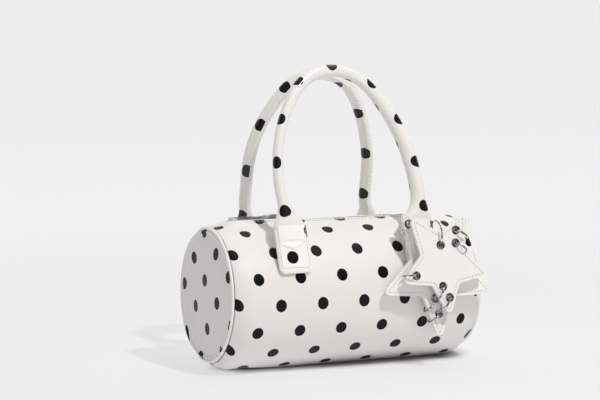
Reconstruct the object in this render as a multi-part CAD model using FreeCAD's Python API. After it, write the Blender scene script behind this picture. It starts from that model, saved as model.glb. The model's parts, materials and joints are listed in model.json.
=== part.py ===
# Barrel bag with two rolled handles, a top zip and a double star charm.
# Millimetres. +X runs along the barrel, the front faces -Y, +Z is up.
# The origin is the middle of the flat strip that the bag stands on.
import FreeCAD, Part
import math
import os

Vector = FreeCAD.Vector

# Barrel
barrel_diameter = 111.0
barrel_length = 206.0
base_flat_width = 26.0
shoulder_length = 9.0
base_lift = 0.15
skin_thickness = 1.4
board_thickness = 1.8
lining_thickness = 0.6
layer_gap = 0.15

# End seams
piping_radius = 1.1
panel_recess = 0.5
seam_gap = 0.2

# Mouth and zip
mouth_margin = 28.0
mouth_width = 13.0
mouth_rim_height = 0.3
mouth_rim_width = 2.6
mouth_rim_foot = 7.0
mouth_rim_end = 9.0
tape_thickness = 0.7
tape_drop = 0.5
tape_gap = 0.5
tape_tooth_gap = 0.4
lip_end_gap = 0.4
tooth_pitch = 3.0
tooth_width = 1.2
tooth_height = 2.3
tooth_reach = 1.0
tooth_clamp = 2.4
stop_length = 2.6
stop_gap = 0.6

# Zip slider and puller
slider_length = 12.0
slider_thickness = 1.2
slider_flange_width = 1.5
slider_clearance = 0.3
slider_rest_margin = 23.5
slider_far_margin = 12.5
slider_park_gap = 1.5
slider_corner = 1.2
bridge_width = 2.4
bridge_wall = 0.8
puller_pin_radius = 0.8
puller_pin_clearance = 0.2
puller_length = 30.0
puller_thickness = 1.4
puller_arm_width = 1.9
puller_clearance = 0.3
puller_bar_length = 5.0

# Handles
handle_diameter = 9.5
handle_wall = 2.0
filler_clearance = 0.15
front_handle_spread = 111.0
rear_handle_spread = 104.0
front_handle_height = 120.1
rear_handle_height = 124.5
front_handle_lean = 21.0
rear_handle_lean = 10.7
front_spring_height = 29.6
rear_spring_height = 43.0
arch_top_share = 0.7
flare_length = 18.0
flare_lip = 0.15
flare_round_share = 0.98
flare_level_shares = (0.0, 0.16, 0.55, 1.0)
flare_narrow_shares = (0.0, 0.05, 0.62, 1.0)
flare_deepen_shares = (0.0, 0.0, 0.5, 1.0)

# Handle tabs
tab_width = 24.6
tab_height = 36.4
tab_thickness = 3.4
tab_corner = 4.0
front_tab_spread = 105.6
rear_tab_spread = 104.0
front_tab_lean = 21.0
rear_tab_lean = 14.0
front_tab_offset = 2.9
rear_tab_offset = -5.8
tab_seat = 0.3
fold_gap = 0.3

# Star charm
star_thickness = 2.8
star_lean = 12.0
star_spacing = 9.0
star_standoff = 1.8
star_width_share = 0.9
star_tip_radius = 3.2
star_notch_radius = 2.0
same_place_share = 0.01
back_star_radius = 56.2
front_star_radius = 43.2
back_notch_share = 0.45
front_notch_share = 0.5
back_star_side = 0.3
front_star_side = 1.5
back_star_drop = 17.4
front_star_drop = 12.6
hang_side = 5.3
hang_height = 13.4

# The five tips of each star from its lowest one: their angles, and their reach as shares of its radius
back_tip_angles = (-94.0, -22.0, 50.0, 122.0, 197.5)
back_tip_shares = (1.0, 1.0, 1.0, 1.0, 1.02)
front_tip_angles = (-88.0, -16.0, 56.0, 128.0, 200.0)
front_tip_shares = (1.0, 1.0, 1.04, 1.08, 1.0)

# Eyelets and wire rings
eyelet_hole_radius = 1.9
eyelet_wall = 0.6
eyelet_flange_width = 0.9
eyelet_flange_thickness = 0.45
eyelet_clearance = 0.05
wire_radius = 0.65
ring_edge_clearance = 1.6
hang_ring_radius = 10.0
hook_angle = 6.0
hook_clearance = 0.3

# Places on a star as shares of its size (across, up), and the way the ring goes to the edge
front_ring_shares = {
    "upper_right": (0.32, 0.54),
    "middle_right": (0.29, 0.315),
    "left": (-0.62, -0.22),
    "middle_low": (-0.067, -0.435),
    "low": (0.055, -0.635),
}
front_ring_angles = {
    "upper_right": -35.0,
    "middle_right": -38.0,
    "left": 177.0,
    "middle_low": 241.0,
    "low": 233.0,
}
back_ring_shares = {
    "upper_left": (-0.42, 0.628),
    "middle_low": (-0.095, -0.40),
    "low": (-0.04, -0.605),
}
back_ring_angles = {
    "upper_left": 239.0,
    "middle_low": 228.0,
    "low": 213.0,
}

# One overrun serves all cuts
overrun = 10.0

# Derived barrel places
barrel_radius = barrel_diameter / 2
centre_height = math.sqrt(barrel_radius ** 2 - (base_flat_width / 2) ** 2)
barrel_top = centre_height + barrel_radius
end_radius = centre_height - base_lift
half_length = barrel_length / 2
wrap_half = half_length - 2 * piping_radius - seam_gap
board_inset = skin_thickness + layer_gap
lining_inset = board_inset + board_thickness + layer_gap
room_inset = lining_inset + lining_thickness

# Derived zip places
mouth_length = barrel_length - 2 * mouth_margin
half_mouth = mouth_width / 2
rim_top = barrel_top + mouth_rim_height
tape_level = rim_top - tape_drop
tape_edge = half_mouth - tape_gap
tape_split = tooth_reach + tape_tooth_gap
tooth_top = tape_level + tooth_height / 2
slider_base = tooth_top + slider_clearance
slider_top = slider_base + slider_thickness
slider_half = slider_length / 2
slider_half_width = tooth_clamp + slider_clearance + slider_flange_width
slider_rest = slider_rest_margin - mouth_length / 2
slider_far = mouth_length / 2 - slider_far_margin
slider_travel = slider_far - slider_rest
lip_left = slider_rest + slider_half + slider_park_gap
lip_right = slider_far - slider_half - slider_park_gap
pin_hole_radius = puller_pin_radius + puller_pin_clearance
bridge_radius = pin_hole_radius + bridge_wall
pin_level = slider_top + bridge_radius
pin_x = slider_rest - slider_half + bridge_radius


def box(x_low, x_high, y_low, y_high, z_low, z_high):
    """A box between two corners."""
    corner = Vector(x_low, y_low, z_low)
    return Part.makeBox(x_high - x_low, y_high - y_low, z_high - z_low, corner)


def rod_along(axis, radius, start, length):
    """A round rod from a start point."""
    return Part.makeCylinder(radius, length, start, axis)


def prism(points, reach):
    """A flat outline pushed out by one vector."""
    return Part.Face(Part.makePolygon(points + points[:1])).extrude(reach)


def tilt(angle):
    """The inward and upward unit vectors of a front piece that leans over the bag."""
    turn = math.radians(angle)
    return Vector(0, math.cos(turn), -math.sin(turn)), Vector(0, math.sin(turn), math.cos(turn))


def stand(shape, angle, place):
    """Lean a piece that was drawn upright, then move it to its place."""
    shape.rotate(Vector(0, 0, 0), Vector(1, 0, 0), -angle)
    shape.translate(place)
    return shape


def stood(point, angle, place):
    """Where a point of an upright drawing lands."""
    inward, upward = tilt(angle)
    return place + Vector(point.x, 0, 0) + inward * point.y + upward * point.z


def save(name, *solids):
    """Write one piece, or one group of like pieces."""
    shape = solids[0] if len(solids) == 1 else Part.makeCompound(list(solids))
    shape.exportStep(os.path.join("parts", name + ".step"))


def barrel_solid(inset):
    """The barrel's full form, drawn in from the outside by an inset."""
    run_radius = barrel_radius - inset
    seam_radius = end_radius - inset
    drop = run_radius - seam_radius
    bend_radius = (shoulder_length ** 2 + drop ** 2) / (2 * drop)
    half_turn = math.asin(shoulder_length / bend_radius) / 2
    bend_middle_x = wrap_half - shoulder_length + bend_radius * math.sin(half_turn)
    bend_middle_z = run_radius - bend_radius * (1 - math.cos(half_turn))

    def at(x, radius):
        return Vector(x, 0, centre_height + radius)

    bend_start = wrap_half - shoulder_length
    left_bend_middle = at(-bend_middle_x, bend_middle_z)
    right_bend_middle = at(bend_middle_x, bend_middle_z)
    left_bend = Part.Arc(at(-wrap_half, seam_radius), left_bend_middle, at(-bend_start, run_radius))
    right_bend = Part.Arc(at(bend_start, run_radius), right_bend_middle, at(wrap_half, seam_radius))
    left_middle = at(-wrap_half, 0)
    right_middle = at(wrap_half, 0)
    edges = [
        left_bend.toShape(),
        Part.makeLine(left_bend.EndPoint, right_bend.StartPoint),
        right_bend.toShape(),
        Part.makeLine(right_bend.EndPoint, right_middle),
        Part.makeLine(right_middle, left_middle),
        Part.makeLine(left_middle, left_bend.StartPoint),
    ]
    solid = Part.Face(Part.Wire(edges)).revolve(Vector(0, 0, centre_height), Vector(1, 0, 0), 360)
    below = box(-barrel_length, barrel_length, -barrel_length, barrel_length, -barrel_length, inset)
    return solid.cut(below)


def mouth_cut():
    """The slot that the zip closes."""
    half_run = mouth_length / 2
    return box(-half_run, half_run, -half_mouth, half_mouth, centre_height, rim_top + overrun)


def mouth_rim():
    """The turned and raised edge of the wrap all round the zip."""
    top_half = half_mouth + mouth_rim_width
    foot_half = top_half + mouth_rim_foot
    foot_level = centre_height + math.sqrt(barrel_radius ** 2 - foot_half ** 2)
    flat_half = mouth_length / 2 + mouth_rim_width
    end_half = flat_half + mouth_rim_end
    across = [
        Vector(-end_half, -foot_half, centre_height),
        Vector(-end_half, -foot_half, foot_level),
        Vector(-end_half, -top_half, rim_top),
        Vector(-end_half, top_half, rim_top),
        Vector(-end_half, foot_half, foot_level),
        Vector(-end_half, foot_half, centre_height),
    ]
    along = [
        Vector(-end_half, -foot_half, centre_height),
        Vector(-end_half, -foot_half, foot_level),
        Vector(-flat_half, -foot_half, rim_top),
        Vector(flat_half, -foot_half, rim_top),
        Vector(end_half, -foot_half, foot_level),
        Vector(end_half, -foot_half, centre_height),
    ]
    rim = prism(across, Vector(2 * end_half, 0, 0)).common(prism(along, Vector(0, 2 * foot_half, 0)))
    middle_of_skin = barrel_radius - skin_thickness / 2
    start = Vector(-barrel_length, 0, centre_height)
    return rim.cut(rod_along(Vector(1, 0, 0), middle_of_skin, start, 2 * barrel_length))


def make_barrel():
    """The wrap's skin, stiffening board and lining, open at both ends and at the mouth."""
    mouth = mouth_cut()
    skin = barrel_solid(0).cut(barrel_solid(skin_thickness)).fuse(mouth_rim()).removeSplitter()
    save("body_panel", skin.cut(mouth))
    board = barrel_solid(board_inset).cut(barrel_solid(board_inset + board_thickness))
    save("body_board", board.cut(mouth))
    lining = barrel_solid(lining_inset).cut(barrel_solid(room_inset))
    save("body_lining", lining.cut(mouth))


def make_end(name, side):
    """One end: its skin disc, board and lining, and the piping round the seam."""
    def disc(radius, outer_face, thickness):
        start = Vector(side * (half_length - outer_face), 0, centre_height)
        return rod_along(Vector(-side, 0, 0), radius, start, thickness)

    piping_reach = end_radius - piping_radius
    centre = Vector(side * (half_length - piping_radius), 0, centre_height)
    save(name + "_piping", Part.makeTorus(piping_reach, piping_radius, centre, Vector(1, 0, 0)))
    panel_radius = end_radius - 2 * piping_radius - seam_gap
    panel_thickness = 2 * piping_radius - panel_recess
    save(name + "_end_panel", disc(panel_radius, panel_recess, panel_thickness))
    inner_radius = end_radius - room_inset - seam_gap
    board_face = panel_recess + panel_thickness + layer_gap
    save(name + "_end_board", disc(inner_radius, board_face, board_thickness))
    lining_face = board_face + board_thickness + layer_gap
    save(name + "_end_lining", disc(inner_radius, lining_face, lining_thickness))


def tape_strip(x_low, x_high, y_low, y_high):
    """A flat run of zip tape."""
    half = tape_thickness / 2
    return box(x_low, x_high, y_low, y_high, tape_level - half, tape_level + half)


def clamped(x_low, x_high, y_low, y_high):
    """A metal block closed over the edge of the tapes."""
    block = box(x_low, x_high, y_low, y_high, tape_level - tooth_height / 2, tooth_top)
    for side in (-1, 1):
        edges = sorted((side * mouth_width, side * tape_split))
        block = block.cut(tape_strip(x_low - overrun, x_high + overrun, *edges))
    return block


def tooth_row(side, x_low, x_high):
    """The teeth of one side of the chain, with the other side's teeth between them."""
    ends = sorted((-side * tooth_reach, side * tooth_clamp))
    first = clamped(-tooth_width / 2, tooth_width / 2, *ends)
    step = side * tooth_pitch / 4
    low = math.ceil((x_low + tooth_width / 2 - step) / tooth_pitch)
    high = math.floor((x_high - tooth_width / 2 - step) / tooth_pitch)
    return [first.translated(Vector(step + n * tooth_pitch, 0, 0)) for n in range(low, high + 1)]


def make_zip():
    """Two tape lips with their teeth, the sewn-down ends of the zip, and its stops."""
    for name, side in (("front", -1), ("rear", 1)):
        edges = sorted((side * tape_split, side * tape_edge))
        save(name + "_zip_tape", tape_strip(lip_left, lip_right, *edges))
        save(name + "_zip_teeth", *tooth_row(side, lip_left, lip_right))
    ends_of_zip = (("left", -1, lip_left, slider_rest), ("right", 1, lip_right, slider_far))
    for name, side, lip_end, park in ends_of_zip:
        end_start = lip_end + side * lip_end_gap
        ends = sorted((end_start, side * (mouth_length / 2 - tape_gap)))
        halves = [tape_strip(*ends, tape_split, tape_edge), tape_strip(*ends, -tape_edge, -tape_split)]
        save(name + "_zip_end", *halves)
        stop_start = park + side * (slider_half + stop_gap)
        run = sorted((end_start, stop_start))
        save(name + "_end_teeth", *(tooth_row(-1, *run) + tooth_row(1, *run)))
        stop = sorted((stop_start, stop_start + side * stop_length))
        save(name + "_zip_stop", clamped(*stop, -tooth_clamp, tooth_clamp))


def make_slider():
    """The zip's slider plate with its flanges and bridge, and the puller that hangs on it."""
    left = slider_rest - slider_half
    right = slider_rest + slider_half
    plate = box(left, right, -slider_half_width, slider_half_width, slider_base, slider_top)
    upright = [edge for edge in plate.Edges if edge.BoundBox.ZLength > slider_thickness / 2]
    slider = plate.makeFillet(slider_corner, upright)
    flange_low = tape_level + tape_thickness / 2 + slider_clearance
    for side in (-1, 1):
        y_low, y_high = sorted((side * (slider_half_width - slider_flange_width), side * slider_half_width))
        flange = box(left + slider_corner, right - slider_corner, y_low, y_high, flange_low, slider_top)
        slider = slider.fuse(flange)
    across = Vector(0, 1, 0)
    half_bridge = bridge_width / 2
    bridge_side = Vector(pin_x, -half_bridge, pin_level)
    nose = rod_along(across, bridge_radius, bridge_side, bridge_width)
    bridge_top = pin_level + bridge_radius
    crown = box(pin_x, right - slider_corner, -half_bridge, half_bridge, slider_base, bridge_top)
    foot = box(pin_x - bridge_radius / 2, pin_x, -half_bridge, half_bridge, slider_base, pin_level)
    slider = slider.fuse([nose, crown, foot]).removeSplitter()
    save("zip_slider", slider.cut(rod_along(across, pin_hole_radius, bridge_side, bridge_width)))

    inner = half_bridge + puller_clearance
    outer = inner + puller_arm_width
    low = pin_level - puller_thickness / 2
    high = low + puller_thickness
    far = pin_x - puller_length
    up = Vector(0, 0, 1)
    leaf = rod_along(up, outer, Vector(far + outer, 0, low), puller_thickness)
    leaf = leaf.fuse(box(far + outer, pin_x + puller_thickness / 2, -outer, outer, low, high))
    near_end = pin_x - bridge_radius - puller_clearance - inner
    near_slot = box(near_end, pin_x + overrun, -inner, inner, low, high)
    near_slot = near_slot.fuse(rod_along(up, inner, Vector(near_end, 0, low), puller_thickness))
    eye_low = far + outer
    eye_high = near_end - inner - puller_bar_length - inner
    eye = box(eye_low, eye_high, -inner, inner, low, high)
    for x in (eye_low, eye_high):
        eye = eye.fuse(rod_along(up, inner, Vector(x, 0, low), puller_thickness))
    pin = rod_along(across, puller_pin_radius, Vector(pin_x, -outer, pin_level), 2 * outer)
    save("zip_puller", leaf.cut([near_slot, eye]).fuse(pin).removeSplitter())


def fold_place(lean, offset):
    """Where tabs that lean over the front of the barrel fold into their handle."""
    inward, upward = tilt(lean)
    outer_face = barrel_radius + tab_seat + tab_thickness
    return Vector(0, 0, centre_height) - inward * outer_face + upward * (offset + tab_height)


# The rear pieces are drawn at the front, then mirrored
front_fold = fold_place(front_tab_lean, front_tab_offset)
rear_fold = fold_place(rear_tab_lean, rear_tab_offset)
tab_inward, tab_upward = tilt(front_tab_lean)
tab_foot = front_fold - tab_upward * tab_height
tab_middle = tab_thickness / 2


def mirrored(shape):
    """The same piece on the rear of the bag."""
    return shape.mirror(Vector(0, 0, 0), Vector(0, 1, 0))


def handle_rod(radius, spread, height, spring_height):
    """A rod along one handle's legs and three-arc arch, drawn upright."""
    half = spread / 2
    top_radius = half * arch_top_share
    rise = height - spring_height
    square = half ** 2 + (rise - top_radius) ** 2 - top_radius ** 2
    side_radius = square / (2 * (half - top_radius))
    side_turn = math.degrees(math.atan2(rise - top_radius, side_radius - half))
    level = Vector(0, 0, 1)
    leg_length = spring_height - flare_length
    leg = rod_along(level, radius, Vector(-half, tab_middle, flare_length), leg_length)
    spring_circle = Part.Circle(Vector(-half, tab_middle, spring_height), level, radius)
    spring_face = Part.Face(Part.Wire([spring_circle.toShape()]))
    side_centre = Vector(side_radius - half, tab_middle, spring_height)
    side_arc = spring_face.copy().revolve(side_centre, Vector(0, 1, 0), side_turn)
    crown_face = spring_face.copy()
    crown_face.rotate(side_centre, Vector(0, 1, 0), side_turn)
    crown_centre = Vector(0, tab_middle, height - top_radius)
    crown = crown_face.revolve(crown_centre, Vector(0, 1, 0), 2 * (90 - side_turn))
    across = Vector(1, 0, 0)
    origin = Vector(0, 0, 0)
    pieces = [side_arc, crown, leg.mirror(origin, across), side_arc.mirror(origin, across)]
    return leg.fuse(pieces).removeSplitter()


def rounded_section(x, level, half_across, half_deep):
    """A level rounded outline, about the middle of a handle's foot."""
    corner = flare_round_share * min(half_across, half_deep)
    line_x = half_across - corner
    line_y = half_deep - corner
    slant = corner * math.sqrt(2) / 2
    edges = []
    for turn_x, turn_y in ((1, 1), (-1, 1), (-1, -1), (1, -1)):
        middle = Vector(x + turn_x * line_x, tab_middle + turn_y * line_y, level)
        to_side = Vector(turn_x * corner, 0, 0)
        to_front = Vector(0, turn_y * corner, 0)
        first, last = (to_side, to_front) if turn_x == turn_y else (to_front, to_side)
        bend = middle + Vector(turn_x * slant, turn_y * slant, 0)
        edges.append(Part.Arc(middle + first, bend, middle + last).toShape())
    outline = []
    for edge, following in zip(edges, edges[1:] + edges[:1]):
        outline += [edge, Part.makeLine(edge.Vertexes[-1].Point, following.Vertexes[0].Point)]
    return Part.Wire(outline)


def flare(leg_x, tab_x):
    """The foot of a handle, where the roll opens out to the width of its tab."""
    radius = handle_diameter / 2 + flare_lip
    run = flare_length - fold_gap
    sections = []
    stages = zip(flare_level_shares, flare_narrow_shares, flare_deepen_shares)
    for level_share, narrow_share, deepen_share in stages:
        half_across = tab_width / 2 + (radius - tab_width / 2) * narrow_share
        half_deep = tab_middle + (radius - tab_middle) * deepen_share
        x = tab_x + (leg_x - tab_x) * level_share
        sections.append(rounded_section(x, fold_gap + run * level_share, half_across, half_deep))
    return Part.makeLoft(sections, True, True)


def make_handle(name, spread, tab_spread, height, spring_height, lean, fold):
    """One handle: the rolled cover with its two flared feet, and the filler cord inside it."""
    radius = handle_diameter / 2
    bore_radius = radius - handle_wall
    arch = (spread, height, spring_height)
    feet = [flare(side * spread / 2, side * tab_spread / 2) for side in (-1, 1)]
    cover = handle_rod(radius, *arch).fuse(feet)
    cover = cover.cut(handle_rod(bore_radius, *arch)).removeSplitter()
    filler = handle_rod(bore_radius - filler_clearance, *arch)
    for piece, shape in (("cover", cover), ("filler", filler)):
        placed = stand(shape, lean, fold)
        save(name + "_handle_" + piece, mirrored(placed) if name == "rear" else placed)


def eyelet(thickness):
    """A rolled metal eyelet through a sheet, its axis along Y and its middle at the origin."""
    barrel_outer = eyelet_hole_radius + eyelet_wall
    flange_radius = barrel_outer + eyelet_flange_width
    half = thickness / 2
    across = Vector(0, 1, 0)
    outer_half = half + eyelet_flange_thickness
    tube = rod_along(across, barrel_outer, Vector(0, -outer_half, 0), 2 * outer_half)
    front = rod_along(across, flange_radius, Vector(0, -outer_half, 0), eyelet_flange_thickness)
    rear = rod_along(across, flange_radius, Vector(0, half, 0), eyelet_flange_thickness)
    hole = rod_along(across, eyelet_hole_radius, Vector(0, -outer_half, 0), 2 * outer_half)
    return tube.fuse([front, rear]).cut(hole).removeSplitter()


def eyelet_bore(place, thickness):
    """The hole that an eyelet is set in."""
    radius = eyelet_hole_radius + eyelet_wall + eyelet_clearance
    start = place - Vector(0, thickness, 0)
    return rod_along(Vector(0, 1, 0), radius, start, 2 * thickness)


# The charm is drawn upright with its back star in the plane y = 0, then leaned and moved to here
star_inward, star_upward = tilt(star_lean)
charm_place = tab_foot - star_inward * (star_thickness / 2 + star_standoff)
hang_x = front_handle_spread / 2 + hang_side
hang_rise = math.sqrt(hang_ring_radius ** 2 - (star_spacing / 2) ** 2)
hang_centre = Vector(hang_x, -star_spacing / 2, hang_height + hang_rise)
hang_middle = stood(hang_centre, star_lean, charm_place)

# The tab's ring is level, and the hang ring turns on its front
hook_turn = math.radians(hook_angle)
hook_reach = hang_ring_radius - 2 * wire_radius - hook_clearance
hook_point = hang_middle + Vector(0, math.cos(hook_turn), math.sin(hook_turn)) * hook_reach
tab_mid_point = front_fold + tab_inward * tab_middle
tab_run = (hook_point.z - tab_mid_point.z) / tab_upward.z
tab_eye_level = tab_mid_point + tab_upward * tab_run
tab_ring_radius = tab_eye_level.y - hook_point.y
tab_eye_x = hang_x - tab_ring_radius


def make_tabs():
    """Four flat tabs sewn to the barrel, the front right one with an eyelet and ring for the charm."""
    for side_name, side in (("left", -1), ("right", 1)):
        for name, spread, lean, fold in (("front", front_tab_spread, front_tab_lean, front_fold),
                                         ("rear", rear_tab_spread, rear_tab_lean, rear_fold)):
            middle = side * spread / 2
            half = tab_width / 2
            plate = box(middle - half, middle + half, 0, tab_thickness, -tab_height, 0)
            lower = [edge for edge in plate.Edges if edge.BoundBox.YLength > edge.BoundBox.ZLength
                     and edge.BoundBox.XLength < edge.BoundBox.YLength and edge.BoundBox.ZMax < -tab_corner]
            tab = plate.makeFillet(tab_corner, lower)
            node = name + "_" + side_name + "_tab"
            if name == "front" and side == 1:
                eye = Vector(tab_eye_x, tab_middle, tab_run)
                tab = tab.cut(eyelet_bore(eye, tab_thickness))
                save("tab_eyelet", stand(eyelet(tab_thickness).translated(eye), lean, fold))
                ring_middle = Vector(hang_x, tab_eye_level.y, hook_point.z)
                save("tab_ring", Part.makeTorus(tab_ring_radius, wire_radius, ring_middle, Vector(0, 0, 1)))
            placed = stand(tab, lean, fold)
            save(node, mirrored(placed) if name == "rear" else placed)


def star_corners(radius, notch_share, tip_angles, tip_shares):
    """The ten corners of an upside-down star about its own middle, tip first."""
    corners = []
    for angle, following, share in zip(tip_angles, tip_angles[1:] + tip_angles[:1], tip_shares):
        half_step = (following - angle) % 360 / 2
        for reach, turn in ((radius * share, angle), (radius * notch_share, angle + half_step)):
            across = math.cos(math.radians(turn))
            up = math.sin(math.radians(turn))
            corners.append(Vector(star_width_share * reach * across, 0, reach * up))
    return corners


def star_layer(corners, place, y_low, y_high):
    """One leather layer of a star, with rounded tips and notches."""
    lift = Vector(place.x, y_low, place.z)
    layer = prism([corner + lift for corner in corners], Vector(0, y_high - y_low, 0))
    through = Vector(0, 1, 0)
    near = star_thickness * same_place_share

    def runs_through(edge, spot):
        return all((vertex.Point - spot).cross(through).Length < near for vertex in edge.Vertexes)

    for first, radius in ((0, star_tip_radius), (1, star_notch_radius)):
        spots = [corner + lift for corner in corners[first::2]]
        edges = [edge for edge in layer.Edges if any(runs_through(edge, spot) for spot in spots)]
        layer = layer.makeFillet(radius, edges)
    return layer


def edge_distance(corners, start, way):
    """How far a star's edge is from a point inside it, along one way in the star's plane."""
    best = None
    for first, last in zip(corners, corners[1:] + corners[:1]):
        along = last - first
        gap = first - start
        bottom = way.x * along.z - way.z * along.x
        if bottom == 0:
            continue
        distance = (gap.x * along.z - gap.z * along.x) / bottom
        share = (gap.x * way.z - gap.z * way.x) / bottom
        if distance > 0 and 0 <= share <= 1:
            best = distance if best is None else min(best, distance)
    return best


def make_star(name, radius, corners, side, drop, depth, shares, angles):
    """One star: two leather layers, its eyelets, and the wire rings that pierce it."""
    middle = Vector(hang_x + side, -depth, hang_height - drop)
    spots = {"notch": Vector(hang_x, -depth, hang_height)}
    for key, (across_share, up_share) in shares.items():
        spots[key] = middle + Vector(star_width_share * radius * across_share, 0, radius * up_share)
    half = star_thickness / 2
    for layer_name, y_low, y_high in (("face", -depth - half, -depth), ("backing", -depth, half - depth)):
        layer = star_layer(corners, middle, y_low, y_high)
        layer = layer.cut([eyelet_bore(spot, star_thickness) for spot in spots.values()])
        save(name + "_star_" + layer_name, stand(layer, star_lean, charm_place))
    eyelets = [eyelet(star_thickness).translated(spot) for spot in spots.values()]
    save(name + "_star_eyelets", *[stand(each, star_lean, charm_place) for each in eyelets])
    for key, angle in angles.items():
        turn = math.radians(angle)
        way = Vector(math.cos(turn), 0, math.sin(turn))
        start = spots[key] - Vector(middle.x, -depth, middle.z)
        ring_radius = (edge_distance(corners, start, way) + wire_radius + ring_edge_clearance) / 2
        axis = way.cross(Vector(0, 1, 0))
        ring = Part.makeTorus(ring_radius, wire_radius, spots[key] + way * ring_radius, axis)
        save(name + "_" + key + "_ring", stand(ring, star_lean, charm_place))
        print(name, key, "ring radius", round(ring_radius, 2))


def make_charm():
    """The hang ring and the two stars on it."""
    hang_ring = Part.makeTorus(hang_ring_radius, wire_radius, hang_centre, Vector(1, 0, 0))
    save("hang_ring", stand(hang_ring, star_lean, charm_place))
    back_corners = star_corners(back_star_radius, back_notch_share, back_tip_angles, back_tip_shares)
    make_star("back", back_star_radius, back_corners, back_star_side, back_star_drop, 0,
              back_ring_shares, back_ring_angles)
    front_corners = star_corners(front_star_radius, front_notch_share, front_tip_angles, front_tip_shares)
    make_star("front", front_star_radius, front_corners, front_star_side, front_star_drop, star_spacing,
              front_ring_shares, front_ring_angles)


os.makedirs("parts", exist_ok=True)
make_barrel()
make_end("left", -1)
make_end("right", 1)
make_zip()
make_slider()
make_handle("front", front_handle_spread, front_tab_spread, front_handle_height, front_spring_height,
            front_handle_lean, front_fold)
make_handle("rear", rear_handle_spread, rear_tab_spread, rear_handle_height, rear_spring_height,
            rear_handle_lean, rear_fold)
make_tabs()
make_charm()
print("tab ring radius", round(tab_ring_radius, 2), "hook", hook_point, "folds", front_fold, rear_fold)
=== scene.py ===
"""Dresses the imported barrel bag: dotted wrap, rolled handles, zip and star charm."""

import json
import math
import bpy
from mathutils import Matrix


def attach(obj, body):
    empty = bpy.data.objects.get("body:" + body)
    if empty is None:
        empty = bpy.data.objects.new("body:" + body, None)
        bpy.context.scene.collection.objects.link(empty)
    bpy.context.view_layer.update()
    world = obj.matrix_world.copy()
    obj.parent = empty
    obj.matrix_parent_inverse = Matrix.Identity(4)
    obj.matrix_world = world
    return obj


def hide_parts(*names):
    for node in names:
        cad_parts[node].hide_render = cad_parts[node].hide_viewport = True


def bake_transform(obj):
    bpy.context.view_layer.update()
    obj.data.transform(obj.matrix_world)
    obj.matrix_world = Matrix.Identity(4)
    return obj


bl_info = {
    "name": "Dotted barrel bag",
    "version": (1, 0, 0),
    "blender": (4, 5, 0),
    "location": "3D View > Sidebar > Bag",
    "description": "Builds the looks of a dotted barrel bag around its packed solids",
    "category": "Object",
}

import bmesh
import bpy
from bpy.props import FloatProperty, FloatVectorProperty, PointerProperty
from mathutils import Vector, noise

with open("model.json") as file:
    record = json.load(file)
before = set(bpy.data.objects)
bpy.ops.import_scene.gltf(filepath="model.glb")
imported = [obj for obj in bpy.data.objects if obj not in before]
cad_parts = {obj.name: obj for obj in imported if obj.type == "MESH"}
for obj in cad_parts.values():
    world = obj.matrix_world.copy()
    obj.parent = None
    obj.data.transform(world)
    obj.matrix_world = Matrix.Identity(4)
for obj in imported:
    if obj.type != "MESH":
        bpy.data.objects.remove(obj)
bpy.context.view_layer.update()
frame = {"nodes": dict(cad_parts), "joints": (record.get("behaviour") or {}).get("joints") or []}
MM = 0.001
full_turn = 2 * math.pi


# Sizes and colours that a user would change
def length(name, description, millimetres):
    """A length property, given in millimetres."""
    return FloatProperty(name=name, description=description, default=millimetres * MM,
                         unit="LENGTH", precision=5)


def colour(name, description, *rgb):
    """A linear colour property."""
    return FloatVectorProperty(name=name, description=description, default=rgb,
                               subtype="COLOR", min=0, max=1)


class BagSizes(bpy.types.PropertyGroup):
    """Sizes of the leather pieces."""

    barrel_radius: length("Barrel radius", "Outside radius of the wrap", 55.5)
    wrap_half: length("Half wrap", "Half the length of the wrap between its end seams", 100.6)
    left_reach: length("Left reach", "How much further the left end bulges out", 1.3)
    right_reach: length("Right reach", "How much further the right end bulges out", 0.7)
    end_tilt: length("End tilt", "How far the top of each end leans in", 1.4)
    end_radius: length("End radius", "Radius of the wrap at the end seams", 51.4)
    end_lift: length("End lift", "How far the middle of an end lies above the middle of the barrel", 2.9)
    shoulder: length("Shoulder", "How far from the seam the wrap starts to round over", 15.0)
    skin: length("Skin", "Thickness of the wrap", 1.4)
    mouth_half: length("Half mouth", "Half the length of the zip's slot", 75.0)
    mouth_side: length("Mouth side", "Half the width of the zip's slot", 7.3)
    rim_rise: length("Rim rise", "How far the turned edge stands above the barrel", 2.0)
    piping: length("Piping", "Radius of the piping at the end seams", 1.15)
    roll_radius: length("Roll", "Radius of the rolled handles", 4.75)
    tab_width: length("Tab width", "Width of a handle tab at its fold", 26.0)
    tab_foot: length("Tab foot", "Width of a handle tab at its lower edge", 26.4)
    tab_height: length("Tab height", "Height of a handle tab", 36.4)
    dot_wide: length("Dot width", "Half width of a dot along the barrel", 4.35)
    dot_tall: length("Dot height", "Half height of a dot round the barrel", 4.75)
    stitch: length("Stitch", "Length of one stitch", 2.2)


class BagColours(bpy.types.PropertyGroup):
    """Colours of the finishes."""

    leather: colour("Leather", "White coated leather", 0.845, 0.826, 0.796)
    dot: colour("Dot", "Printed dots", 0.001, 0.0014, 0.0026)
    cut_edge: colour("Cut edge", "Raw and painted edges of the leather", 0.74, 0.69, 0.61)
    thread: colour("Thread", "Stitching thread", 0.72, 0.70, 0.665)
    lining: colour("Lining", "Woven lining", 0.62, 0.58, 0.52)
    tape: colour("Zip tape", "Woven zip tape", 0.74, 0.73, 0.7)
    metal: colour("Metal", "Plated zip parts, eyelets and rings", 0.8, 0.8, 0.81)
    floor: colour("Floor", "Floor under the bag", 0.42, 0.41, 0.4)


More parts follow.
